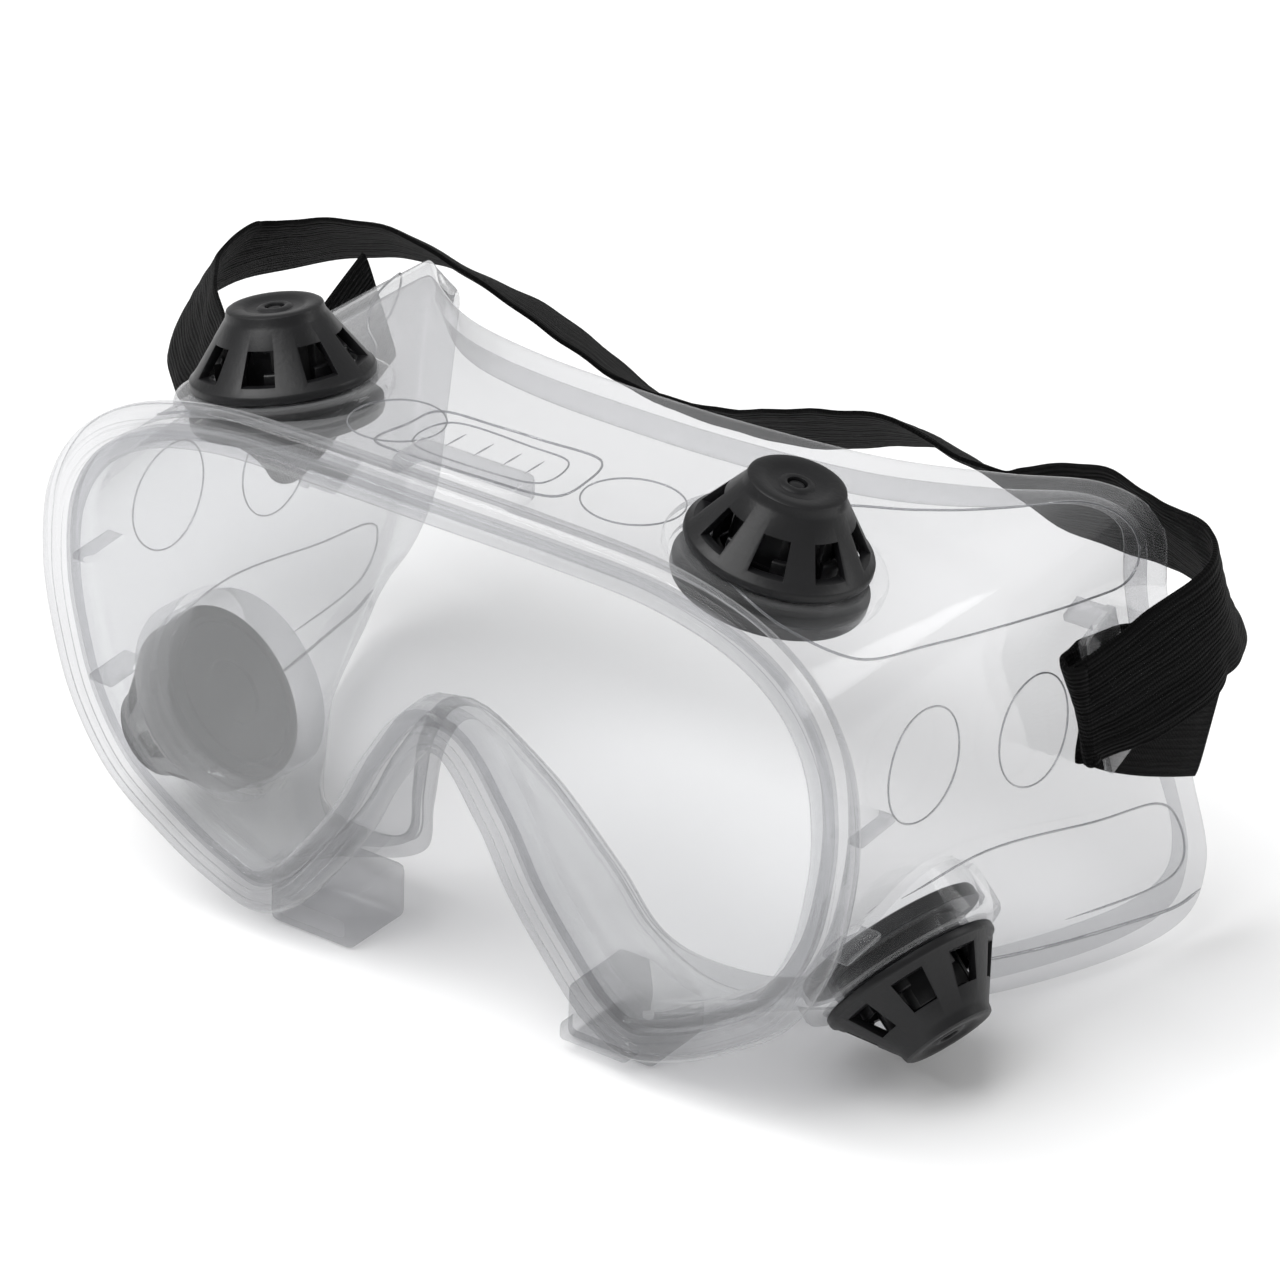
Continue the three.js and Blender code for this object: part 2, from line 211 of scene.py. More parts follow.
def lathe(name, profile, segments=64):
    """A closed solid turned about Z: the profile starts and ends on the axis, or closes on itself."""
    points, rings = [], []
    for radius, height in profile:
        if radius < 1e-6:
            rings.append([len(points)] * segments)
            points.append((0, 0, height))
        else:
            rings.append(list(range(len(points), len(points) + segments)))
            angles = [2 * math.pi * k / segments for k in range(segments)]
            points += [(radius * math.cos(a), radius * math.sin(a), height) for a in angles]
    faces = []
    if profile[0][0] > 1e-6:
        rings.append(rings[0])
    for low, high in zip(rings[:-1], rings[1:]):
        for k in range(segments):
            n = (k + 1) % segments
            face = [low[k], low[n], high[n], high[k]]
            face = [v for i, v in enumerate(face) if v != face[i - 1]]
            if len(face) > 2:
                faces.append(face)
    return make_mesh(name, points, faces)


def block(name, size, centre, tilt=0.0):
    """A box, tipped about X by tilt."""
    x, y, z = (s / 2 for s in size)
    points = [(a * x, b * y, c * z) for a in (-1, 1) for b in (-1, 1) for c in (-1, 1)]
    faces = [(0, 1, 3, 2), (4, 6, 7, 5), (0, 4, 5, 1), (2, 3, 7, 6), (0, 2, 6, 4), (1, 5, 7, 3)]
    obj = make_mesh(name, points, faces)
    return transform(obj, Matrix.Translation(centre) @ Matrix.Rotation(tilt, 4, "X"))


def along_axis(centre, axis):
    turn = Vector((0, 0, 1)).rotation_difference(Vector(axis).normalized()).to_matrix().to_4x4()
    return Matrix.Translation(centre) @ turn


# --- materials -------------------------------------------------------------------------------------------------

GLOSS = (0.012, 0.32)     # share of mirror-like gloss on clear plastic, square on and edge-on


def new_material(name):
    material = bpy.data.materials.new(name)
    material.use_nodes = True
    nodes, links = material.node_tree.nodes, material.node_tree.links
    return material, nodes, links, nodes["Principled BSDF"]


def add_noise(nodes, links, scale, detail=3.0, rough=0.55, coords="Object", stretch=None):
    place_at = nodes.new("ShaderNodeTexCoord").outputs[coords]
    if stretch:
        mapping = nodes.new("ShaderNodeMapping")
        mapping.inputs["Scale"].default_value = stretch
        links.new(place_at, mapping.inputs["Vector"])
        place_at = mapping.outputs["Vector"]
    noise = nodes.new("ShaderNodeTexNoise")
    noise.inputs["Scale"].default_value = scale
    noise.inputs["Detail"].default_value = detail
    noise.inputs["Roughness"].default_value = rough
    links.new(place_at, noise.inputs["Vector"])
    return noise.outputs["Fac"]


def add_range(nodes, links, value, low, high, from_low=0.0, from_high=1.0):
    node = nodes.new("ShaderNodeMapRange")
    node.inputs["From Min"].default_value = from_low
    node.inputs["From Max"].default_value = from_high
    node.inputs["To Min"].default_value = low
    node.inputs["To Max"].default_value = high
    links.new(value, node.inputs["Value"])
    return node.outputs["Result"]


def add_bump(nodes, links, height, strength, distance):
    node = nodes.new("ShaderNodeBump")
    node.inputs["Strength"].default_value = strength
    node.inputs["Distance"].default_value = distance
    links.new(height, node.inputs["Height"])
    return node.outputs["Normal"]


def clear_material(name, tint, body, facing, grazing, roughness, bump, sharpness, noise_scale):
    """Clear moulded plastic: what is behind shows through, more faintly where the wall is seen edge-on.

    facing and grazing are the share of haze seen square on and edge-on, and sharpness is how late it rises."""
    material, nodes, links, shader = new_material(name)
    shader.inputs["Base Color"].default_value = (*body, 1)
    shader.inputs["IOR"].default_value = 1.5
    waves = add_noise(nodes, links, noise_scale, 2.0)
    links.new(add_range(nodes, links, waves, roughness * 0.7, roughness * 1.4), shader.inputs["Roughness"])
    normal = add_bump(nodes, links, waves, bump, 0.0015)
    links.new(normal, shader.inputs["Normal"])
    weight = nodes.new("ShaderNodeLayerWeight")
    weight.inputs["Blend"].default_value = 0.5
    edge_on = nodes.new("ShaderNodeMath")
    edge_on.operation = "POWER"
    edge_on.inputs[1].default_value = sharpness
    links.new(weight.outputs["Facing"], edge_on.inputs[0])
    see_through = nodes.new("ShaderNodeBsdfTransparent")
    see_through.inputs["Color"].default_value = (*tint, 1)
    mix = nodes.new("ShaderNodeMixShader")
    links.new(add_range(nodes, links, edge_on.outputs[0], facing, grazing), mix.inputs["Fac"])
    links.new(see_through.outputs[0], mix.inputs[1])
    links.new(shader.outputs[0], mix.inputs[2])
    gloss = nodes.new("ShaderNodeBsdfGlossy")
    gloss.inputs["Roughness"].default_value = roughness
    links.new(normal, gloss.inputs["Normal"])
    coated = nodes.new("ShaderNodeMixShader")
    links.new(add_range(nodes, links, edge_on.outputs[0], *GLOSS), coated.inputs["Fac"])
    links.new(mix.outputs[0], coated.inputs[1])
    links.new(gloss.outputs[0], coated.inputs[2])
    links.new(coated.outputs[0], nodes["Material Output"].inputs["Surface"])
    return material


def black_plastic():
    material, nodes, links, shader = new_material("black_plastic")
    grain = add_noise(nodes, links, 900.0, 4.0)
    cloud = add_noise(nodes, links, 70.0, 3.0)
    shader.inputs["Specular IOR Level"].default_value = 0.3
    ramp = nodes.new("ShaderNodeValToRGB")
    ramp.color_ramp.elements[0].color = (0.004, 0.004, 0.0045, 1)
    ramp.color_ramp.elements[1].color = (0.010, 0.010, 0.011, 1)
    links.new(cloud, ramp.inputs["Fac"])
    links.new(ramp.outputs["Color"], shader.inputs["Base Color"])
    links.new(add_range(nodes, links, cloud, 0.30, 0.48), shader.inputs["Roughness"])
    links.new(add_bump(nodes, links, grain, 0.25, 0.0002), shader.inputs["Normal"])
    return material


def black_webbing():
    """Elastic webbing: ribs run along its length, and fine cross threads tie them."""
    material, nodes, links, shader = new_material("black_webbing")
    uv = nodes.new("ShaderNodeTexCoord").outputs["UV"]
    heights = []
    for direction, scale, amount in (("X", 1.9, 0.8), ("Y", 20.0, 0.3)):
        wave = nodes.new("ShaderNodeTexWave")
        wave.wave_type = "BANDS"
        wave.bands_direction = direction
        wave.inputs["Scale"].default_value = scale
        wave.inputs["Distortion"].default_value = 2.6
        wave.inputs["Detail"].default_value = 1.0
        wave.inputs["Detail Scale"].default_value = 2.0
        links.new(uv, wave.inputs["Vector"])
        heights.append(add_range(nodes, links, wave.outputs["Fac"], 0.0, amount))
    streaks = add_noise(nodes, links, 2.4, 3.0, 0.6, "UV", (2.2, 0.30, 1.0))
    heights.append(add_range(nodes, links, streaks, -1.6, 1.6))
    weave = heights[0]
    for height in heights[1:]:
        total = nodes.new("ShaderNodeMath")
        total.operation = "ADD"
        links.new(weave, total.inputs[0])
        links.new(height, total.inputs[1])
        weave = total.outputs[0]
    fuzz = add_noise(nodes, links, 1500.0, 3.0)
    ramp = nodes.new("ShaderNodeValToRGB")
    ramp.color_ramp.elements[0].color = (0.0014, 0.0014, 0.0014, 1)
    ramp.color_ramp.elements[1].color = (0.006, 0.006, 0.0062, 1)
    links.new(add_range(nodes, links, weave, 0.0, 1.0, 0.0, 1.5), ramp.inputs["Fac"])
    links.new(ramp.outputs["Color"], shader.inputs["Base Color"])
    links.new(add_range(nodes, links, fuzz, 0.62, 0.86), shader.inputs["Roughness"])
    shader.inputs["Sheen Weight"].default_value = 0.02
    shader.inputs["Sheen Roughness"].default_value = 0.4
    shader.inputs["Specular IOR Level"].default_value = 0.05
    links.new(add_bump(nodes, links, weave, 0.55, 0.001), shader.inputs["Normal"])
    return material


PVC = clear_material(
    "clear_pvc", tint=(0.872, 0.873, 0.879), body=(0.68, 0.685, 0.695), facing=0.022, grazing=0.46,
    roughness=0.07, bump=0.10, sharpness=2.5, noise_scale=32.0)
# Same clear plastic as the body, with a darker tint, a darker grey body and more haze: painted shade that stands
# in for the thin dark lines refraction draws along the raised moulded lines.
PAINTED_DARK_LINE_PVC = clear_material(
    "clear_pvc_painted_dark_line", tint=(0.80, 0.805, 0.82), body=(0.34, 0.345, 0.36), facing=0.14, grazing=0.9,
    roughness=0.12, bump=0.2, sharpness=1.0, noise_scale=60.0)
LENS = clear_material(
    "clear_lens", tint=(0.942, 0.944, 0.948), body=(0.80, 0.81, 0.82), facing=0.03, grazing=0.60,
    roughness=0.04, bump=0.03, sharpness=2.2, noise_scale=20.0)
BLACK = black_plastic()
WEBBING = black_webbing()


# --- body outline ----------------------------------------------------------------------------------------------

def mirrored(points):
    return list(points) + [(-p[0], *p[1:]) for p in points[-2:0:-1]]


def closed_spline(points, steps):
    """Points of a smooth closed curve through the given ones."""
    p = np.array(points, float)
    w = np.arange(steps)[None, :, None] / steps
    p0, p1, p2, p3 = (np.roll(p, s, 0)[:, None] for s in (1, 0, -1, -2))
    bend, twist = 2 * p0 - 5 * p1 + 4 * p2 - p3, 3 * p1 - p0 - 3 * p2 + p3
    curve = p1 + 0.5 * ((p2 - p0) * w + bend * w**2 + twist * w**3)
    return curve.reshape(-1, p.shape[1])


front_ring = closed_spline(mirrored([(x, 0, z) for x, z in FRONT]), STEPS)
rear_ring = closed_spline(mirrored(REAR), STEPS)
bow_ring = closed_spline([(b,) for b in BOW + BOW[-2:0:-1]], STEPS)[:, 0]
COUNT = len(front_ring)
ring_along = np.roll(front_ring, -1, 0) - np.roll(front_ring, 1, 0)
ring_along /= np.linalg.norm(ring_along, axis=1)[:, None]
outward = np.stack([-ring_along[:, 2], 0 * ring_along[:, 0], ring_along[:, 0]], 1)


def rim_ring(inset, y):
    ring = front_ring - inset * outward
    ring[:, 1] = y
    return ring


sleeve_start = rim_ring(SLEEVE_STEP, RIM_DEPTH)
backward = rear_ring - sleeve_start
sleeve_length = np.linalg.norm(backward, axis=1)
backward = backward / sleeve_length[:, None]


def sleeve_ring(t, depth=0.0):
    bow = 4 * t * (1 - t) * bow_ring
    return sleeve_start * (1 - t) + rear_ring * t + outward * (bow - depth)[:, None]


def rear_ring_ahead(ahead, depth):
    return rear_ring - backward * ahead - outward * (depth * np.ones(COUNT))[:, None]


def smooth(x, low, high):
    w = np.clip((x - low) / (high - low), 0, 1)
    return w * w * (3 - 2 * w)


nose_share = smooth(34 - np.abs(rear_ring[:, 0]), 0, 12) * smooth(60 - rear_ring[:, 2], 0, 10)
flange_depth = FLANGE_WIDTH + (FLANGE_WIDTH_NOSE - FLANGE_WIDTH) * nose_share
groove_back = GROOVE_FRONT + LENS_THICK + 2 * GAP


def inside_rings():
    """The hollow's surface, from the lens groove back to the flange."""
    rings = [rim_ring(i, y) for i, y in (
        (APERTURE - GROOVE_DEPTH, GROOVE_FRONT), (APERTURE - GROOVE_DEPTH, groove_back),
        (APERTURE - 0.2, groove_back), (APERTURE, groove_back + 0.2), (APERTURE, 6.5),
        (APERTURE, RIM_DEPTH - 0.4))]
    rings += [sleeve_ring(t, WALL) for t in np.linspace(0.03, 0.94, 30)]
    rings += [rear_ring_ahead(FLANGE_THICK + a, WALL + d) for a, d in ((0.6, 0.1), (0.15, 0.5))]
    rings += [rear_ring_ahead(FLANGE_THICK, WALL + (flange_depth - WALL) * s) for s in (0.35, 0.65, 0.9)]
    return rings


def make_body():
    outside = [rim_ring(i, y) for i, y in (
        (7.25, 1.2), (6.9, 0.6), (6.2, 0.2), (5.2, 0.0), (4.7, 0.0), (4.45, 0.45), (4.0, 0.45), (3.75, 0.0),
        (2.7, 0.0), (2.45, 0.5), (2.0, 0.5), (1.75, 0.15), (1.0, 0.15), (0.5, 0.5), (0.15, 1.0), (0.0, 1.6),
        (0.0, 2.5), (0.4, 2.8), (0.45, 3.2), (0.15, 3.5), (0.3, 4.2), (0.9, 4.8), (1.9, 5.2), (3.1, 5.8),
        (4.2, 6.8), (4.8, 7.6))]
    outside += [sleeve_ring(t) for t in np.linspace(0.0, 0.985, 48)]
    outside += [rear_ring_ahead(a, d) for a, d in (
        (0.55, 0.1), (0.25, 0.35), (0.06, 0.75), (0.0, 1.3), (0.1, 2.1), (0.0, 2.9))]
    outside += [rear_ring_ahead(0.0, 2.9 + (flange_depth - 3.9) * s) for s in (0.35, 0.7, 1.0)]
    outside += [rear_ring_ahead(a, flange_depth - d) for a, d in (
        (0.12, 0.5), (0.45, 0.12), (1.0, 0.0), (1.6, 0.0), (2.05, 0.15), (2.3, 0.5))]
    rings = outside + inside_rings()[::-1] + [rim_ring(APERTURE - 0.2, GROOVE_FRONT), rim_ring(APERTURE, 1.6)]
    points = np.concatenate(rings)
    return make_mesh("body", points, grid_faces(len(rings), COUNT, close_rows=True))


def make_hollow():
    """The space inside the body as a solid, for trimming what is added to the body."""
    inside = inside_rings()
    last = rear_ring_ahead(-3.0, flange_depth)
    far = last.copy()
    far[:, 1] = 140
    rings = [rim_ring(APERTURE, -3), *inside, rear_ring_ahead(FLANGE_THICK - 0.4, flange_depth), last, far]
    faces = grid_faces(len(rings), COUNT)
    faces.append(tuple(range(COUNT))[::-1])
    faces.append(tuple((len(rings) - 1) * COUNT + i for i in range(COUNT)))
    return make_mesh("hollow", np.concatenate(rings), faces)


def surface_point(k, t, lift=0.0):
    """A point of the outer wall: k counts outline points from the top centre, t runs from rim to rear."""
    place_on = (k % (COUNT / STEPS)) * STEPS
    low, share = int(place_on) % COUNT, place_on % 1
    ring = sleeve_ring(t, -lift)
    return ring[low] * (1 - share) + ring[(low + 1) % COUNT] * share


def open_spline(points, steps):
    p = np.array(points, float)
    p = np.vstack([2 * p[0] - p[1], p, 2 * p[-1] - p[-2]])
    out = []
    for a, b, c, d in zip(p[:-3], p[1:-2], p[2:-1], p[3:]):
        for w in np.arange(steps) / steps:
            bend, twist = 2 * a - 5 * b + 4 * c - d, 3 * b - a - 3 * c + d
            out.append(b + 0.5 * ((c - a) * w + bend * w**2 + twist * w**3))
    out.append(p[-2])
    return np.array(out)


def bead(path, radius, closed, sides=6):
    """A fine raised line along a path of points, as a closed mesh."""
    path = np.array(path, float)
    count = len(path)
    ahead = np.roll(path, -1, 0) if closed else np.vstack([path[1:], path[-1:]])
    behind = np.roll(path, 1, 0) if closed else np.vstack([path[:1], path[:-1]])
    along = ahead - behind
    along /= np.linalg.norm(along, axis=1)[:, None]
    up = np.cross(along, np.array([0.31, 0.17, 0.93]))
    up /= np.linalg.norm(up, axis=1)[:, None]
    side = np.cross(along, up)
    rings = []
    for k in range(count):
        taper = 1.0 if closed else min(1.0, 0.25 + 0.25 * min(k, count - 1 - k))
        rings.append([path[k] + radius * taper * (up[k] * math.cos(a) + side[k] * math.sin(a))
                      for a in (2 * math.pi * s / sides for s in range(sides))])
    faces = grid_faces(count, sides, close_rows=closed, flip=True)
    if not closed:
        faces += [tuple(range(sides)), tuple((count - 1) * sides + s for s in range(sides))[::-1]]
    return make_mesh("bead", np.array(rings).reshape(-1, 3), faces)


def wall_circle(k, t, radius, lift=0.0):
    """Points of a circle that lies on the outer wall, about the wall point k, t."""
    along_k = surface_point(k + 0.25, t) - surface_point(k - 0.25, t)
    along_t = surface_point(k, t + 0.02) - surface_point(k, t - 0.02)
    dk, dt = 0.5 / np.linalg.norm(along_k), 0.04 / np.linalg.norm(along_t)
    turns = [2 * math.pi * s / 48 for s in range(48)]
    return [surface_point(k + radius * dk * math.cos(a), t + radius * dt * math.sin(a), lift) for a in turns]


def rounded_path(corners):
    """A closed line on the outer wall through corner points k, t."""
    return [surface_point(k, t, 0.05) for k, t in closed_spline(corners, SPLINE_STEPS)]


def make_details():
    """Raised outlines moulded on the walls, through wall points k, t as surface_point takes them."""
    upper_panel = [
        (2.2, 0.62), (1.9, 0.4), (1.9, 0.18), (2.5, 0.07), (3.2, 0.05), (4.1, 0.13), (4.5, 0.3), (4.9, 0.5),
        (5.3, 0.72), (5.45, 0.86), (5.0, 0.91), (4.1, 0.9), (3.5, 0.8), (2.8, 0.7)]
    lower_panel = [
        (7.75, 0.18), (7.65, 0.4), (7.95, 0.7), (8.1, 0.88), (8.4, 0.93), (8.8, 0.92), (8.95, 0.84),
        (8.95, 0.62)]
    lower_edge = [(9.35, 0.42), (9.4, 0.6), (9.4, 0.8), (9.4, 0.93), (9.25, 0.99)]
    mirror = COUNT / STEPS
    beads = []
    for side in (0, 1):
        turned = (lambda k: mirror - k) if side else (lambda k: k)
        beads.append(bead(rounded_path([(turned(k), t) for k, t in upper_panel]), 0.2, True))
        line = open_spline([(turned(k), t) for k, t in lower_panel], SPLINE_STEPS)
        beads.append(bead([surface_point(k, t, 0.05) for k, t in line], 0.2, False))
        edge = open_spline([(turned(k), t) for k, t in lower_edge], SPLINE_STEPS)
        beads.append(bead([surface_point(k, t, 0.0) for k, t in edge], 0.3, False))
        for k, t in ((6.0, 0.22), (6.5, 0.55)):
            beads.append(bead(wall_circle(turned(k), t, 9.6, 0.03), 0.16, True))
        beads.append(bead(wall_circle(turned(1.05), 0.3, 8.0, 0.03), 0.15, True))
    panel = [
        (33.05, 0.14), (33.05, 0.3), (33.1, 0.44), (33.6, 0.47), (34.0, 0.48), (34.5, 0.48), (34.62, 0.32),
        (34.55, 0.17), (34.0, 0.14), (33.5, 0.13)]
    beads.append(bead(rounded_path(panel), 0.2, True))
    inner = [(33.3, 0.2), (33.3, 0.4), (34.0, 0.42), (34.35, 0.4), (34.38, 0.23), (34.0, 0.19)]
    beads.append(bead(rounded_path(inner), 0.15, True))
    for k in (33.5, 33.75, 34.0, 34.2):
        beads.append(bead([surface_point(k, t, 0.05) for t in np.linspace(0.25, 0.36, 6)], 0.2, False))
    return join("body_details", beads)


def lug_frame():
    return Matrix.Translation(LUG_AT) @ Matrix.Rotation(LUG_LEAN, 4, "X")


def make_additions():
    """What is moulded onto the body: vent seats, lens tabs and gussets."""
    parts = []
    for centre, axis, skirt in VENTS.values():
        seat = lathe("seat", [
            (0, -SEAT_THICK - skirt), (SEAT_RADIUS, -SEAT_THICK - skirt), (SEAT_RADIUS, -1.2),
            (SEAT_RADIUS - 0.35, -0.45), (SEAT_RADIUS - 1.1, -0.05), (SEAT_RADIUS - 1.8, 0), (0, 0)], ROUND)
        parts.append(transform(seat, along_axis(centre, axis)))
    for side in (-1, 1):
        tab = block("tab", (17, 15, 10), (side * 29.5, 13.8, -0.1), -REST_TILT)
        parts.append(bevel(tab, 1.4, 3))
        step = block("step", (13, 5.4, 3.2), (side * 29.0, 4.9, -0.9), -REST_TILT)
        parts.append(bevel(step, 0.8, 2))
        for x, z in ((73.6, 51), (71.4, 29)):
            parts.append(bevel(block("gusset", (4.8, 9.5, 1.3), (side * x, RIM_DEPTH + 3.2, z)), 0.4, 2))
    parts.append(bevel(block("top_tab", (22, 8.5, 4.8), (0, 10.2, 88.3)), 1.2, 3))
    return parts


def make_lug(side):
    """A bridge on two feet that the webbing passes under."""
    bridge = block("bridge", (1.5, 9, 30.1), (side * 79.85, 0.8, -2.45))
    for end in (-1, 1):
        foot = block("foot", (6.2, 6.4 - 2 * end, 1.4), (side * 76.9, 2.0 + 0.8 * end, end * 14.3 - 2.45))
        boolean(bridge, foot, "UNION")
        remove(foot)
    bevel(bridge, 0.5, 3)
    return transform(bridge, lug_frame())


def make_cutters():
    """The room for each vent: its base, the hole through the seat, and the cap."""
    profile = [
        (0, -SEAT_THICK - 8), (BASE_RADIUS + 0.7, -SEAT_THICK - 8), (BASE_RADIUS + 0.7, -SEAT_THICK),
        (SEAT_HOLE, -SEAT_THICK), (SEAT_HOLE, 0.02), (VENT_RADIUS + 0.8, 0.02), (VENT_RADIUS + 0.8, 6), (0, 6)]
    return [transform(lathe("cutter", profile, ROUND), along_axis(centre, axis))
            for centre, axis, _ in VENTS.values()]


# --- vents -----------------------------------------------------------------------------------------------------

def make_cap_mesh():
    cap = lathe("cap", [
        (VENT_RADIUS - 1.8, GAP), (VENT_RADIUS - 0.3, GAP), (VENT_RADIUS, GAP + 0.3), (VENT_RADIUS, 1.5),
        (VENT_RADIUS - 0.15, 1.9), (VENT_RADIUS - 0.6, 2.15), (8.35, 10.8), (8.05, 11.3), (7.9, 12.1),
        (7.75, 12.5), (7.35, 12.75), (VENT_TOP_RADIUS, VENT_HEIGHT), (5.2, 12.72), (4.6, 12.35), (3.0, 12.25),
        (2.6, 12.5), (2.1, 12.6), (PIN_RADIUS + GAP, 12.5), (PIN_RADIUS + GAP, 8.8), (3, 8.8), (3, 11),
        (6.2, 11), (6.5, 10.3), (VENT_RADIUS - 1.9, 1.6)], CAP_ROUND)
    for i in range(VENT_SLOTS):
        slot = make_mesh("slot", [
            (4, -2.8, 3.0), (4, 2.8, 3.0), (4, 2.1, 8.0), (4, -2.1, 8.0),
            (18, -2.8, 3.0), (18, 2.8, 3.0), (18, 2.1, 8.0), (18, -2.1, 8.0)],
            [(0, 1, 2, 3), (7, 6, 5, 4), (4, 5, 1, 0), (5, 6, 2, 1), (6, 7, 3, 2), (7, 4, 0, 3)])
        transform(slot, Matrix.Rotation((i + 0.5) * 2 * math.pi / VENT_SLOTS, 4, "Z"))
        boolean(cap, slot, "DIFFERENCE")
        remove(slot)
    bevel(cap, 0.18, 2, 40)
    return cap


def make_base_mesh():
    top = -SEAT_THICK - GAP
    base = lathe("base", [
        (0, top - 2.3), (5.5, top - 2.3), (5.9, top - 2.6), (12.2, top - 2.6), (12.5, top - 2.35),
        (13.0, top - 2.35), (13.3, top - 2.6), (BASE_RADIUS - 0.9, top - 2.6), (BASE_RADIUS - 0.25, top - 2.35),
        (BASE_RADIUS, top - 1.8), (BASE_RADIUS, top - 0.2), (BASE_RADIUS - 0.2, top), (10.7, top), (10.7, 4.0),
        (10.55, 4.2), (9.65, 4.2), (9.5, 4.0), (9.5, top - 0.8),
        (8.1, top - 0.8), (7.9, 7.4), (7.7, 7.6), (7.2, 7.6), (7.0, 7.4),
        (6.9, top - 0.8), (PIN_RADIUS + 1.6, top - 0.8), (PIN_RADIUS + 0.3, top + 0.6),
        (PIN_RADIUS, top + 2), (PIN_RADIUS, 12.0), (PIN_RADIUS - 0.3, 12.2), (0, 12.3)], ROUND)
    for i in range(VENT_SLOTS):
        notch = block("notch", (6, 4.6, 6), (10.4, 0, 4.2))
        transform(notch, Matrix.Rotation((i + 0.25) * 2 * math.pi / VENT_SLOTS, 4, "Z"))
        boolean(base, notch, "DIFFERENCE")
        remove(notch)
    bevel(base, 0.15, 2, 50)
    return base


# --- strap -----------------------------------------------------------------------------------------------------

# Middle line of the webbing: x, y, z, and how many degrees its top edge tips towards the middle of the loop.
STRAP_ROUTE = [
    (84.2, 66.4, 49.6, -4), (87.4, 71.4, 52.3, -2), (90.8, 77.4, 55.6, 0), (92.0, 83.8, 58.2, 2),
    (89.0, 90.2, 59.0, 14), (83.0, 96.0, 58.2, 26), (75, 101.2, 57.4, 32), (64, 106.2, 56.6, 30),
    (54, 109, 53.4, 32),
    (43, 110.6, 50.6, 42), (31, 111, 52.6, 52), (19, 111, 55.4, 52), (7, 111, 52.8, 52), (-12, 110.8, 47, 52),
    (-33, 110.5, 46, 53), (-47, 110.3, 51, 55), (-59.5, 110.2, 55.8, 55), (-71, 110, 58.5, 53),
    (-83, 110, 60.3, 51), (-95, 108.8, 59, 49), (-105, 105.5, 56.5, 45), (-111.5, 99, 55.5, 40),
    (-112.5, 91, 55, 34), (-109.5, 81.5, 53.8, 24), (-101.5, 72.5, 52.5, 14), (-93, 66.8, 50.4, 6),
]


def strap_stations():
    """Stations along the webbing as (point, width direction), from the left tail to the right one."""
    def lug_point(side, x, y, drop=0.0):
        p = lug_frame() @ Vector((side * x, y, 0))
        return (p.x, p.y, p.z - drop)

    # Left tail, from its end to the fold: x, y along the lug, drop below it, and forward tilt in degrees.
    tail = [(82.4, 32, 28.4, -20), (82.0, 25, 23.0, -20), (81.0, 17, 16.8, -14), (79.7, 9, 10.2, 0),
            (78.7, 3, 4.6, 16), (78.2, -2.2, 1.6, 25), (78.3, -4.6, 0.6, 26), (79.1, -6.9, -0.1, 23),
            (80.6, -7.5, -0.4, 20), (81.7, -6.0, -0.4, 19)]
    stations = []
    for x, y, drop, tilt in tail:
        a = math.radians(tilt)
        stations.append((lug_point(1, x, y, drop), (0, -math.sin(a), math.cos(a))))
    route = np.array(STRAP_ROUTE, float)
    for k in range(len(route)):
        before, after = route[max(k - 1, 0), :3], route[min(k + 1, len(route) - 1), :3]
        along = (after - before) / np.linalg.norm(after - before)
        inward = np.array([-along[1], along[0], 0])
        inward /= np.linalg.norm(inward)
        tip = math.radians(route[k, 3])
        wide = np.array([0, 0, math.cos(tip)]) + inward * math.sin(tip)
        wide -= along * wide.dot(along)
        stations.append((tuple(route[k, :3]), tuple(wide / np.linalg.norm(wide))))
    right_tail = [(84.5, -7.0), (81.9, -8.3), (79.6, -8.6), (77.9, -7.2), (77.5, -4.0), (77.5, 2.0),
                  (77.9, 8.0), (78.6, 16.0), (79.2, 25.0)]
    for x, y in right_tail:
        stations.append((lug_point(-1, x, y), (0, -math.sin(STRAP_LEAN), math.cos(STRAP_LEAN))))
    return stations


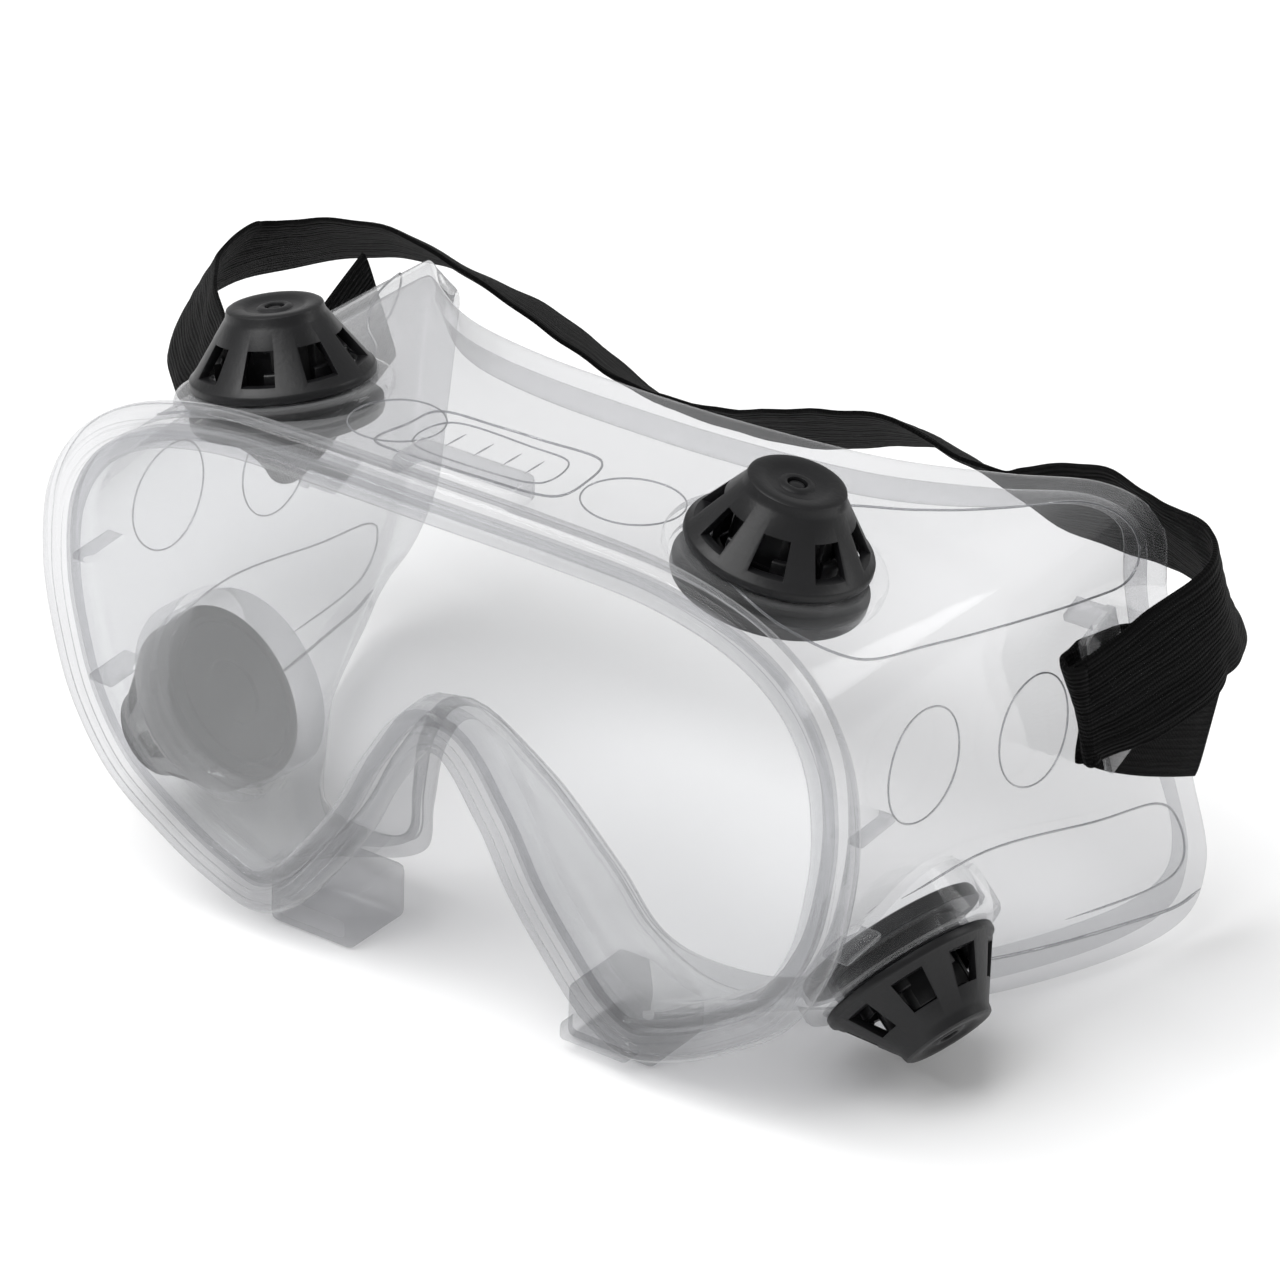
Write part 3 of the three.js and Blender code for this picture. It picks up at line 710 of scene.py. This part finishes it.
def make_strap():
    stations = strap_stations()
    points = open_spline([p for p, _ in stations], SPLINE_STEPS)
    wides = open_spline([w for _, w in stations], SPLINE_STEPS)
    wides /= np.linalg.norm(wides, axis=1)[:, None]
    length = np.concatenate([[0], np.cumsum(np.linalg.norm(np.diff(points, axis=0), axis=1))])
    along = np.gradient(points, axis=0)
    along /= np.linalg.norm(along, axis=1)[:, None]
    wides -= along * (wides * along).sum(1)[:, None]
    wides /= np.linalg.norm(wides, axis=1)[:, None]
    thick = np.cross(wides, along)
    across = np.linspace(-1, 1, STRAP_ACROSS)
    top = [(a * (1 - 0.012 * abs(a) ** 8), 1 - 0.55 * abs(a) ** 10) for a in across]
    section = top + [(a, -b) for a, b in top[::-1]]
    rows, texture = [], []
    for k in range(len(points)):
        s = length[k]
        from_end = min(s, length[-1] - s)
        folded = sum(math.exp(-((d - FOLD_AT) / FOLD_SPREAD) ** 2) for d in (s, length[-1] - s))
        pinch = 1 - FOLD_PINCH * folded
        wavy = min(1.0, max(0.0, (from_end - CALM_END) / CALM_FADE))
        row = []
        for a, b in section:
            edge_wave = 0.35 * math.sin(s * 0.21 + 1.3 * (a > 0)) + 0.2 * math.sin(s * 0.53 + 2 * a)
            buckle = (0.30 * math.sin(s * 0.16 + 2.2 * a) + 0.16 * math.sin(s * 0.61 + 3.1 * a)
                      + 0.1 * math.sin(a * 19))
            row.append(points[k] + wides[k] * (a * pinch * STRAP_WIDTH / 2 + edge_wave * 0.5 * wavy * abs(a))
                       + thick[k] * (b * STRAP_THICK / 2 + buckle * wavy * 0.55))
            texture.append((a * 2.0 + 2.0, s / STRAP_WIDTH))
        rows.append(row)
    count = len(section)
    faces = grid_faces(len(rows), count)
    faces += [tuple(range(count))[::-1], tuple((len(rows) - 1) * count + i for i in range(count))]
    strap = make_mesh("strap", np.array(rows).reshape(-1, 3), faces, WEBBING, 50)
    layer = strap.data.uv_layers.new(name="UVMap")
    for loop in strap.data.loops:
        layer.data[loop.index].uv = texture[loop.vertex_index]
    return strap, float(length[-1]) / 1000


# --- assembly --------------------------------------------------------------------------------------------------

body = make_body()
hollow = make_hollow()
for addition in make_additions():
    boolean(addition, hollow, "DIFFERENCE")
    boolean(body, addition, "UNION")
    remove(addition)
for cutter in make_cutters():
    boolean(body, cutter, "DIFFERENCE")
    remove(cutter)
remove(hollow)
body.name = "goggle_body"
body.data.materials.clear()
body.data.materials.append(PVC)
shade(body, 32)
place(body, "goggles", "clear_pvc", "frame_body")

for side, word in ((1, "left"), (-1, "right")):
    lug = face_outward(make_lug(side))
    lug.name = "strap_lug_" + word
    lug.data.materials.clear()
    lug.data.materials.append(PVC)
    shade(lug, 40)
    place(lug, "goggles", "clear_pvc")

details = make_details()
# The raised lines take the darker clear plastic, painted shade for the dark lines refraction draws along them.
details.data.materials.append(PAINTED_DARK_LINE_PVC)
face_outward(details)
shade(details, 60)
place(details, "goggles", "clear_pvc")

inset = APERTURE - GROOVE_DEPTH + GAP
lens_front = GROOVE_FRONT + GAP
lens_rings = [rim_ring(inset + 0.3, lens_front), rim_ring(inset, lens_front + 0.3),
              rim_ring(inset, lens_front + LENS_THICK - 0.3), rim_ring(inset + 0.3, lens_front + LENS_THICK)]
lens_faces = grid_faces(4, COUNT) + [tuple(range(COUNT))[::-1], tuple(3 * COUNT + i for i in range(COUNT))]
lens = face_outward(make_mesh("lens_sheet", np.concatenate(lens_rings), lens_faces, LENS))
shade(lens, 30)
place(lens, "goggles", "clear_lens", "lens")

cap_master, base_master = make_cap_mesh(), make_base_mesh()
for name, (centre, axis, _) in VENTS.items():
    turning = (cap_master, "vent_cap_", "cap_" + name)
    fixed = (base_master, "vent_base_", "goggles")
    for master, word, owner in (turning, fixed):
        piece = bpy.data.objects.new("black_" + word + name, master.data.copy())
        bpy.context.scene.collection.objects.link(piece)
        piece.data.materials.clear()
        piece.data.materials.append(BLACK)
        face_outward(piece)
        shade(piece, 30)
        transform(piece, along_axis(centre, axis))
        place(piece, owner, "black_plastic", word + name)
remove(cap_master, base_master)

strap, strap_length = make_strap()
face_outward(strap)
transform(strap, TO_ROW)
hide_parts("strap_band", "strap_loop_left", "strap_loop_right")
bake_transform(strap)

# --- floor, light and camera -----------------------------------------------------------------------------------

floor_material, floor_nodes, floor_links, floor_shader = new_material("floor")
floor_shader.inputs["Base Color"].default_value = (0.93, 0.93, 0.93, 1)
floor_shader.inputs["Roughness"].default_value = 0.9
floor_shader.inputs["Specular IOR Level"].default_value = 0.1
floor = make_mesh("floor", [(-4, -4, 0), (4, -4, 0), (4, 4, 0), (-4, 4, 0)], [(0, 1, 2, 3)], floor_material)

world = bpy.data.worlds.new("studio")
bpy.context.scene.world = world
world.use_nodes = True
world.node_tree.nodes["Background"].inputs["Color"].default_value = (1, 1, 1, 1)
world.node_tree.nodes["Background"].inputs["Strength"].default_value = 0.48


def area_light(name, location, target, size, power):
    data = bpy.data.lights.new(name, "AREA")
    data.shape = "RECTANGLE"
    data.size, data.size_y = size
    data.energy = power
    obj = bpy.data.objects.new(name, data)
    bpy.context.scene.collection.objects.link(obj)
    obj.location = location
    obj.rotation_euler = (Vector(target) - Vector(location)).to_track_quat("-Z", "Y").to_euler()
    return obj


sun_data = bpy.data.lights.new("sun", "SUN")
sun_data.energy = 2.0
sun_data.angle = math.radians(50)
sun = bpy.data.objects.new("sun", sun_data)
bpy.context.scene.collection.objects.link(sun)
sun.rotation_euler = Vector((0.25, 0.35, -1)).to_track_quat("-Z", "Y").to_euler()
area_light("key", (-0.55, -0.35, 0.95), (0, 0, 0.04), (0.5, 0.35), 2.2)
area_light("strip", (-0.25, -0.9, 0.8), (0, 0, 0.05), (0.7, 0.05), 2.6)
area_light("rim", (0.75, 0.6, 0.6), (0, 0, 0.05), (0.3, 0.5), 1.6)

VIEW_AZIMUTH = math.radians(34.902)
VIEW_ELEVATION = math.radians(31.008)
VIEW_ROLL = math.radians(-0.13)
VIEW_DISTANCE = 1065.2
VIEW_OFFSET = (-32.67, -55.15)
VIEW_LENS = 188.85
ahead = Vector((-math.sin(VIEW_AZIMUTH), math.cos(VIEW_AZIMUTH), 0))
back = Vector((0, 0, math.sin(VIEW_ELEVATION))) - ahead * math.cos(VIEW_ELEVATION)
flat_right = Vector((math.cos(VIEW_AZIMUTH), math.sin(VIEW_AZIMUTH), 0))
flat_up = back.cross(flat_right)
right = flat_right * math.cos(VIEW_ROLL) + flat_up * math.sin(VIEW_ROLL)
up = flat_up * math.cos(VIEW_ROLL) - flat_right * math.sin(VIEW_ROLL)
eye = back * VIEW_DISTANCE - right * VIEW_OFFSET[0] - up * VIEW_OFFSET[1]
turn = Matrix.Rotation(REST_TILT, 3, "X")
columns = [turn @ right, turn @ up, turn @ back]
camera_data = bpy.data.cameras.new("camera")
camera_data.sensor_width = 36
camera_data.lens = VIEW_LENS
camera_data.clip_start = 0.05
camera_data.clip_end = 30
camera = bpy.data.objects.new("camera", camera_data)
bpy.context.scene.collection.objects.link(camera)
rotation = Matrix((columns[0], columns[1], columns[2])).transposed().to_4x4()
camera.matrix_world = Matrix.Translation(TO_ROW @ eye) @ rotation
bpy.context.scene.camera = camera
bpy.context.scene.view_settings.view_transform = "Standard"
